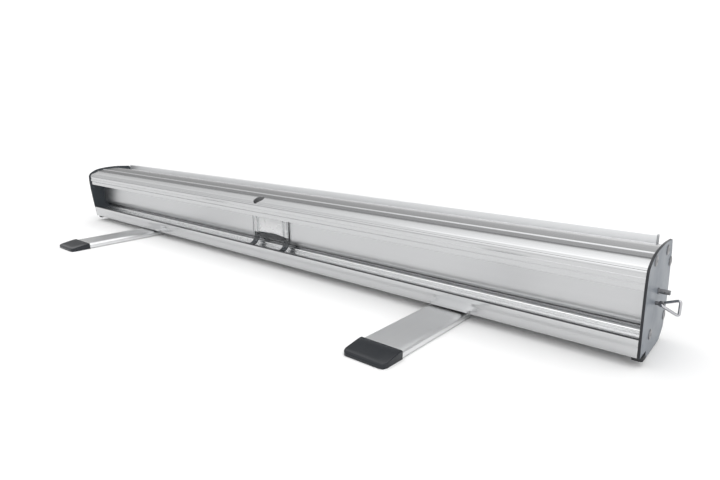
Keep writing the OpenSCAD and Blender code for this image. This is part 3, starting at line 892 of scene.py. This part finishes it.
# %% Axle with its thread
thread = []
x = -OUTER - 8.6
while x < -OUTER - 0.2:
    thread += [(x, 3.45), (x + 0.5, 4.0), (x + 0.65, 4.0), (x + 1.15, 3.45)]
    x += 1.25
axle_profile = [(-OUTER - 9, 0), (-OUTER - 9, 3.2)] + thread + [
    (-OUTER, 4.0), (-HALF, 4.0), (-HALF, 7.0), (-HALF + 3, 7.0), (-HALF + 3, 4.0),
    (-398.4, 4.0), (-398, 3.6), (-398, 0)]
settle(new_piece("axle", *turned(axle_profile, (0, ROLLER_Z)), zinc, 25), "cassette", "steel",
       "idler_axle")

# %% Washer and nut
def ring(x_low, x_high, inner, outer, y=0.0, z=ROLLER_Z, edge=0.25, steps=40):
    return turned(soften([(x_low, inner), (x_low, outer), (x_high, outer), (x_high, inner)], edge),
                  (y, z), steps=steps, closed=True)


def hexagon_nut(low, high, radius, bore, centre, axis):
    """A nut: a hexagonal prism, trimmed by a cone at both ends and bored."""
    six = arc(*centre, radius, 0, 300, 5)
    keep = turned([(low, bore), (low, radius * 0.9), (low + radius * 0.09, radius * 1.02),
                   (high - radius * 0.09, radius * 1.02), (high, radius * 0.9), (high, bore)],
                  centre, axis, 48, closed=True)
    body = new_piece("nut", *prism(six, low, high, axis), None)
    tool = new_piece("keep", *keep, None)
    both = body.modifiers.new("trim", "BOOLEAN")
    both.operation, both.solver, both.object = "INTERSECT", "EXACT", tool
    mesh = bpy.data.meshes.new_from_object(
        body.evaluated_get(bpy.context.evaluated_depsgraph_get()))
    result = [tuple(v.co / MM) for v in mesh.vertices], [list(f.vertices) for f in mesh.polygons]
    bpy.data.objects.remove(body)
    bpy.data.objects.remove(tool)
    return result


settle(new_piece("washer", *ring(-OUTER - 1.5, -OUTER, 4.0, 8.0), zinc), "cassette", "steel",
       "idler_washer")
settle(new_piece("nut", *hexagon_nut(-OUTER - 8, -OUTER - 1.5, 7.5, 4.0, (0, ROLLER_Z), "x"),
                 zinc, 25), "cassette", "steel", "idler_nut")

# %% [markdown]
# ## The roller
# The tube, its two plugs and the spring's anchor are hidden while the stand is closed, but a
# reader can take the shell away and look. The plugs are plain turned shapes.

# %% Tube, plugs and anchor
TUBE_HALF, PLUG_R, FLANGE_R = 421, 9.98, 14.5
settle(new_piece("tube", *ring(-TUBE_HALF, TUBE_HALF, 10, TUBE_R), tube_aluminium), "roller",
       "anodised_aluminium", "roller_tube")


def plug(side, bore):
    """A turned plug: a shank inside the tube and a flange beyond its end."""
    outline = [(401, bore), (401, PLUG_R), (TUBE_HALF, PLUG_R), (TUBE_HALF, FLANGE_R),
               (426, FLANGE_R), (426, bore)]
    outline = soften([(side * x, r) for x, r in outline][::side], 0.6)
    return turned(outline, (0, ROLLER_Z), steps=56, closed=True)


plug_left, plug_right = plug(-1, 4.06), plug(1, 2.56)
settle(new_piece("plug_left", *plug_left, nylon), "roller", "natural_nylon", "roller_plug_left")
lock_reach = hypot(PIN_Y, PIN_Z - ROLLER_Z)
lock_turn = atan2(PIN_Z - ROLLER_Z, PIN_Y)
lock_holes = [turned([(421.5, 0), (421.5, 1.8), (428, 1.8), (428, 0)],
                     (lock_reach * cos(lock_turn + k * pi / 3),
                      ROLLER_Z + lock_reach * sin(lock_turn + k * pi / 3)), steps=24)
              for k in range(6)]
settle(new_piece("plug_right", *cut(plug_right, *lock_holes), nylon), "roller", "natural_nylon",
       "roller_plug_right")
settle(new_piece("anchor", *ring(228, 236, 2.56, PLUG_R, edge=0.6), nylon), "roller",
       "natural_nylon", "spring_anchor")

# %% [markdown]
# ## The banner
# Two metres of printed film are wound on the tube. The roll is drawn as what it is, one sheet
# wound in a spiral. From the roll it runs straight up to the slot and into the rail's grip.

# %% The wound roll
FILM = 0.2
inner_r, laps = TUBE_R + 0.1, (ROLL_R - TUBE_R - 0.2) / FILM
LAP_STEPS = 40
spiral = []
for i in range(int(laps * LAP_STEPS) + 1):
    angle = 2 * pi * i / LAP_STEPS
    r = inner_r + FILM * i / LAP_STEPS
    spiral.append((r * cos(angle), ROLLER_Z + r * sin(angle)))
roll_points = [(x, y, z) for y, z in spiral for x in (-BANNER_HALF, BANNER_HALF)]
roll_faces = [[2 * i, 2 * i + 1, 2 * i + 3, 2 * i + 2] for i in range(len(spiral) - 1)]
roll = new_piece("banner_roll_film", roll_points, roll_faces, film)
settle(roll, "roller", "banner_film", "banner_roll")

# %% The run to the slot and up into the rail
WEB_Y, WEB_LOW, WEB_TOP = 29.8, 75.0, 79.0
gap_r = ROLL_R + 0.3
rise = WEB_LOW - ROLLER_Z
lead_turn = atan2(rise, WEB_Y) + asin(gap_r / hypot(WEB_Y, rise)) - pi / 2
start = gap_r * cos(lead_turn), ROLLER_Z + gap_r * sin(lead_turn)
run = [(start[0] + (WEB_Y - start[0]) * t / 12, start[1] + (WEB_LOW - start[1]) * t / 12)
       for t in range(13)] + [(WEB_Y, WEB_LOW + (WEB_TOP - WEB_LOW) * t / 10) for t in range(1, 11)]
COLUMNS = 24
run_points = [(-BANNER_HALF + 2 * BANNER_HALF * c / COLUMNS, y, z)
              for y, z in run for c in range(COLUMNS + 1)]
run_faces = [[r * (COLUMNS + 1) + c, r * (COLUMNS + 1) + c + 1,
              (r + 1) * (COLUMNS + 1) + c + 1, (r + 1) * (COLUMNS + 1) + c]
             for r in range(len(run) - 1) for c in range(COLUMNS)]
strip = new_piece("banner_run_film", run_points, run_faces, film)
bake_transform(strip)
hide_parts("banner_lead", "banner_web")

# %% [markdown]
# ## The top rail
# The rail is a narrow bar with a thinner blade on top. Two flat caps close its ends, and a
# soft strip inside grips the banner's edge.

# %% Rail, caps and grip
CAP = ([(26.9, 76), (26.9, 82.4), (27.7, 83.2), (28.4, 83.2), (28.0, 83.7)]
       + arc(29.2, 90.3, 1.2, 180, 0, 8) + [(30.4, 83.2), (31.9, 83.2), (32.7, 82.4), (32.7, 76)])
RAIL = CAP + [(30.7, 76), (30.7, 78.4), (28.9, 78.4), (28.9, 76)]
settle(new_piece("rail", *prism(soften(RAIL, 0.3), -421, 421), rail_aluminium), "rail",
       "anodised_aluminium", "top_rail")
for side, name in ((-1, "left"), (1, "right")):
    cap = prism(soften(CAP, 0.5), side * 421, side * 422.5, lip=0.3)
    settle(new_piece("rail_end_" + name, *cap, rail_grey), "rail", "grey_plastic",
           "rail_cap_" + name)
grip = prism(soften([(28.1, 79), (31.5, 79), (31.5, 81.8), (28.1, 81.8)], 0.6), -417, 417)
settle(new_piece("grip", *grip, nylon), "rail", "natural_nylon", "rail_grip_strip")

# %% [markdown]
# ## The clear pole clip
# A plate of clear plastic, frosted on its front, stands against the back of the recess. A hem
# runs along its lower edge, and two ribs run down each side. Its two springy feet curl down to
# the floor behind the lip and turn up at the end. The hem, the lower part and the feet's end
# faces are tinted dark as painted shade.

# %% Pole clip
CLIP_LOW, CLIP_HIGH, CLIP_LEG = -28.0, 36.0, 9.0
window = [(CLIP_LOW, 60), (CLIP_LOW, 37), (CLIP_LOW + 6, 36.2), (CLIP_LOW + 12, 37.6),
          (4, 39.5), (CLIP_HIGH - 12, 37.6), (CLIP_HIGH - 6, 36.2), (CLIP_HIGH, 37),
          (CLIP_HIGH, 60)]
hem = [(CLIP_LOW + 8, 38.4), (-4, 37), (4, 38.6), (CLIP_HIGH - 12, 37), (CLIP_HIGH - 8, 38.4),
       (CLIP_HIGH - 8, 31), (CLIP_LOW + 8, 31)]
clip_parts = [prism(soften(window, 1.0), -20.3, -18.9, "y", 0.3),
              prism(soften(hem, 1.0), -20.7, -19.2, "y", 0.3)]
foot_path = ([(-20.2, 44), (-20.2, 38), (-20.2, 32.9)] + arc(-30.7, 32.9, 10.5, 0, -90, 10)[1:]
             + [(-33.4, 22.4), (-34.2, 23), (-34.4, 24.8)])
foot_wall = soften(wall(foot_path, 1.4), 0.5)
for low in (CLIP_LOW, CLIP_HIGH - CLIP_LEG):
    clip_parts.append(prism(foot_wall, low, low + CLIP_LEG, "x", 0.3))
    for edge in (low + 0.9, low + CLIP_LEG - 0.9):
        rib = soften([(edge - 0.9, -20.2), (edge + 0.9, -20.2), (edge + 0.6, -22.2),
                      (edge - 0.6, -22.2)], 0.4)
        clip_parts.append(prism(rib, 34, 60, "z", 0.3))
clip = new_piece("clip", *joined(clip_parts), clear)
PAINTED_SHADE_FINISH, FROSTED_FINISH = 1, 2
clip.data.materials.append(clip_painted_shade)
clip.data.materials.append(frosted)
# Low faces and the feet's end faces get the dark tint, painted shade; the window's front face is
# frosted.
for face in clip.data.polygons:
    x, y, z = face.center / MM
    if z < 37.5 or (abs(face.normal.x) > FACES_X and z < 40):
        face.material_index = PAINTED_SHADE_FINISH
    elif y < -20.25 and face.normal.y < -0.9 and -19 < x < 27:
        face.material_index = FROSTED_FINISH
settle(clip, "cassette", "clear_plastic", "pole_clip")

# %% [markdown]
# ## Lock pin and pull ring
# The pin stops the sprung roller from unwinding before the stand is first used. Its ring is
# bent from wire: a triangle with rounded corners, whose two ends meet in the pin's eye.

# %% Lock pin
EYE_X, EYE_T, GAP = 436.2, 1.1, 2.8
pin_profile = [(426.4, 0), (426.4, 1.0), (427.0, 1.5), (EYE_X - 1.8, 1.5), (EYE_X - 1.4, 1.0),
               (EYE_X - 1.4, 0)]
eye = turned(soften([(PIN_Y - EYE_T, 1.22), (PIN_Y - EYE_T, 2.3), (PIN_Y + EYE_T, 2.3),
                     (PIN_Y + EYE_T, 1.22)], 0.45), (EYE_X, PIN_Z), "y", 36, closed=True)
settle(new_piece("pin", *joined([turned(pin_profile, (PIN_Y, PIN_Z), steps=28), eye]), dark_steel),
       "lock_pin", "steel", "lock_pin")

# %% Pull ring
def bent(corners, radius, steps=6):
    """Corners in space, each rounded into a bend."""
    path = []
    for i, corner in enumerate(corners):
        here = Vector(corner)
        a = Vector(corners[i - 1]) - here
        b = Vector(corners[(i + 1) % len(corners)]) - here
        reach = min(radius, 0.4 * a.length, 0.4 * b.length)
        p, q = here + a.normalized() * reach, here + b.normalized() * reach
        path += [(1 - t) ** 2 * p + 2 * t * (1 - t) * here + t * t * q
                 for t in [k / steps for k in range(steps + 1)]]
    return path


FAR_X = EYE_X + 12.6
ring_path = bent([(EYE_X, PIN_Y - GAP, PIN_Z), (FAR_X, PIN_Y, PIN_Z - 7),
                  (FAR_X, PIN_Y, PIN_Z + 5.7), (EYE_X, PIN_Y + GAP, PIN_Z)], 2.6)
settle(new_piece("pull_ring", *tube_along(ring_path, 1.12, 14, closed=True), nickel),
       "lock_ring", "ring_wire", "lock_ring")

# %% [markdown]
# ## Feet
# Each foot is a flat bar with softened long edges, pivoted at its middle. Moulded caps with
# sloping noses close its ends. A cap changes section along its length, so it is lofted: rings
# of points, each a flat-bottomed arch, joined one after another.

# %% Foot bars
HALF_W, BAR_HALF = 20.5, 134.2
BAR = [(-HALF_W, 0.8), (HALF_W, 0.8), (HALF_W, 4.7), (HALF_W - 0.8, 5.9), (HALF_W - 2.4, 6.8),
       (HALF_W - 4.6, 7.25), (0, 7.3), (-HALF_W + 4.6, 7.25), (-HALF_W + 2.4, 6.8),
       (-HALF_W + 0.8, 5.9), (-HALF_W, 4.7)]
bolt_hole = turned([(-1, 0), (-1, 6.2), (0.8, 6.2), (3.9, 3.06), (9, 3.06), (9, 0)], (0, 0),
                   "z", 40)
bar = cut(prism(soften(BAR, 0.3), -BAR_HALF, BAR_HALF, "y", 0.15), bolt_hole)
for side, name in ((-1, "left"), (1, "right")):
    points = [(x + side * FOOT_X, y, z) for x, y, z in bar[0]]
    settle(new_piece("bar_" + name, points, bar[1], foot_aluminium), "foot_" + name,
           "anodised_aluminium", "foot_" + name)

# %% Foot caps
CAP_W, CAP_LENGTH, CORNER = 21.0, 25, 5.0


def cap_ring(y, half_width, top, bottom, edge):
    """One section of a cap: flat below, with rounded upper edges."""
    u = half_width
    arch = [(-u, bottom), (-u, top - edge)]
    arch += [(-u + edge - edge * cos(a), top - edge + edge * sin(a))
             for a in [radians(15 * k) for k in range(1, 7)]]
    arch += [(x, top) for x in (-u * 0.5, 0, u * 0.5)]
    arch += [(u - edge + edge * sin(a), top - edge + edge * cos(a))
             for a in [radians(15 * k) for k in range(0, 6)]]
    arch += [(u, top - edge), (u, bottom), (0, bottom)]
    return [(x, y, z) for x, z in arch]


def cap_shape():
    stations = [(0, 7.2, 0.8), (0.4, 7.6, 1.0), (3, 7.7, 1.0), (8, 7.0, 1.0), (14, 6.0, 1.0),
                (20, 5.0, 0.9), (23.2, 4.35, 0.8), (23.9, 4.1, 0.7), (24.5, 3.5, 0.6),
                (25.0, 2.0, 0.5)]
    rings = []
    for t, top, edge in stations:
        past = max(0.0, t - (CAP_LENGTH - CORNER)) / CORNER
        narrow = CORNER * (1 - (max(0.0, 1 - past ** 2)) ** 0.5)
        bottom = 0.0 if t < 24.5 else 0.35
        rings.append(cap_ring(BAR_HALF + t, CAP_W - narrow, top, bottom, edge))
    count = len(rings[0])
    points = [p for one in rings for p in one]
    faces = [[r * count + i, r * count + (i + 1) % count,
              (r + 1) * count + (i + 1) % count, (r + 1) * count + i]
             for r in range(len(rings) - 1) for i in range(count)]
    return points, faces + [list(range(count))[::-1],
                            [(len(rings) - 1) * count + i for i in range(count)]]


cap_points, cap_faces = cap_shape()
for side, name in ((-1, "left"), (1, "right")):
    for end, where in ((-1, "back"), (1, "front")):
        turned_points = [(end * x + side * FOOT_X, end * y, z) for x, y, z in cap_points]
        nose = new_piece(f"nose_{name}_{where}", turned_points, cap_faces, charcoal, 40)
        settle(nose, "foot_" + name, "charcoal_plastic", f"foot_cap_{name}_{where}")

# %% [markdown]
# ## Foot bolts, washers and nuts
# A countersunk bolt with a hexagon socket comes up from below, through a washer and into a
# nut on the floor of the cassette.

# %% Foot fastenings
bolt_profile = [(1.0, 0), (1.0, 5.7), (1.25, 5.9), (3.9, 3.0), (15.4, 3.0), (16.8, 2.5),
                (16.8, 0)]
key = prism(arc(0, 0, 2.3, 0, 300, 5), -1, 3.2, "z")
bolt = cut(turned(bolt_profile, (0, 0), "z"), key)
for side, name in ((-1, "left"), (1, "right")):
    middle = side * FOOT_X
    moved = [(x + middle, y, z) for x, y, z in bolt[0]]
    settle(new_piece("bolt_" + name, moved, bolt[1], zinc, 25), "cassette", "steel",
           "foot_bolt_" + name)
    flat = turned(soften([(7.36, 3.0), (7.36, 9), (8.7, 9), (8.7, 3.0)], 0.25), (middle, 0), "z",
                  closed=True)
    settle(new_piece("washer_" + name, *flat, zinc), "cassette", "steel", "foot_washer_" + name)
    settle(new_piece("lock_nut_" + name, *hexagon_nut(10.2, 15.2, 5.8, 3.0, (middle, 0), "z"),
                     zinc, 25), "cassette", "steel", "foot_nut_" + name)

# %% [markdown]
# ## The studio
# Bands on satin metal are reflections, so the room matters as much as the metal. Long
# extrusions are lit by long lights that run beside them: then a band looks the same from one
# end to the other. The room is painted that way, by the angle round the cassette's length.

# %% Floor
floor_paint = finish("studio_floor", (0.89, 0.89, 0.89), 0.9)
floor_marks = place(floor_paint, handling, Size=3.0)
coloured(floor_paint, shaded(floor_paint, floor_marks.outputs["Marks"], (0.89, 0.89, 0.89),
                             (0.885, 0.885, 0.885)))
FAR = 40000.0
studio_floor = new_piece("studio_floor", [(-FAR, -FAR, 0), (FAR, -FAR, 0), (FAR, FAR, 0),
                                          (-FAR, FAR, 0)], [[0, 1, 2, 3]], floor_paint)
print("floor laid")

# %% Room tone: brightness by the angle from the front horizon (0) over the top to the back (1)
ROOM = [(0.0, 0.98), (0.04, 1.02), (0.09, 1.25), (0.15, 1.65), (0.19, 1.78), (0.25, 1.78),
        (0.31, 1.48), (0.38, 1.36), (0.54, 1.36), (0.585, 1.50), (0.62, 1.78), (0.665, 1.78),
        (0.69, 1.20), (0.715, 0.58), (0.83, 0.58), (0.88, 0.68), (0.94, 1.02), (1.0, 0.95)]
BRIGHTEST = 1.8
world = bpy.data.worlds.new("studio")
bpy.context.scene.world = world
world.use_nodes = True
room = world.node_tree
for node in list(room.nodes):
    room.nodes.remove(node)
direction = add(room, "TexCoord")
split = add(room, "SeparateXYZ")
room.links.new(direction.outputs["Generated"], split.inputs[0])
forward = add(room, "Math", operation="MULTIPLY")
forward.inputs[1].default_value = -1.0
room.links.new(split.outputs["Y"], forward.inputs[0])
angle = add(room, "Math", operation="ARCTAN2")
room.links.new(split.outputs["Z"], angle.inputs[0])
room.links.new(forward.outputs[0], angle.inputs[1])
tone = add(room, "ValToRGB")
tone.color_ramp.interpolation = "EASE"
while len(tone.color_ramp.elements) < len(ROOM):
    tone.color_ramp.elements.new(0.5)
for element, (turn, level) in zip(tone.color_ramp.elements, ROOM):
    level = level / BRIGHTEST
    element.position, element.color = turn, (level, level, level, 1)
room.links.new(ranged(room, angle.outputs[0], 0, pi), tone.inputs[0])
glow = add(room, "Background")
glow.inputs["Strength"].default_value = BRIGHTEST
# The room is also dimmer towards the left end of the cassette.
dimmed = add(room, "VectorMath", operation="SCALE")
room.links.new(tone.outputs[0], dimmed.inputs[0])
room.links.new(ranged(room, split.outputs["X"], -0.95, -0.2, 0.53, 1.0), dimmed.inputs["Scale"])
room.links.new(dimmed.outputs[0], glow.inputs["Color"])
paper = add(room, "Background")
paper.inputs["Color"].default_value = (1, 1, 1, 1)
paper.inputs["Strength"].default_value = 1.2
seen = add(room, "LightPath")
pick = add(room, "MixShader")
room.links.new(seen.outputs["Is Camera Ray"], pick.inputs[0])
room.links.new(glow.outputs[0], pick.inputs[1])
room.links.new(paper.outputs[0], pick.inputs[2])
surround = add(room, "OutputWorld")
room.links.new(pick.outputs[0], surround.inputs["Surface"])
print("room painted with", len(ROOM), "tones")


# %% Lights
def softbox(name, place_at, aim, size, power):
    light = bpy.data.lights.new(name, "AREA")
    light.shape, light.size, light.size_y, light.energy = "RECTANGLE", size[0], size[1], power
    lamp = bpy.data.objects.new(name, light)
    bpy.context.scene.collection.objects.link(lamp)
    lamp.location = place_at
    lamp.rotation_euler = (Vector(aim) - Vector(place_at)).to_track_quat("-Z", "Y").to_euler()
    return lamp


overhead = softbox("overhead", (0.0, 0.1, 2.6), (0, 0, 0), (3.0, 1.2), 6)
print("lamp:", overhead.name)

# %% Camera
AZIMUTH, ELEVATION = 39.6, 13.93
lens = bpy.data.cameras.new("camera")
lens.lens, lens.sensor_width, lens.clip_end = 27.0, 36.0, 200.0
camera = bpy.data.objects.new("camera", lens)
camera.location = (0.5069, -0.4542, 0.1923)
camera.rotation_euler = (radians(90 - ELEVATION), 0, radians(AZIMUTH))
bpy.context.scene.collection.objects.link(camera)
bpy.context.scene.camera = camera
bpy.context.scene.view_settings.view_transform = "Standard"
print("camera at", [round(v, 3) for v in camera.location])
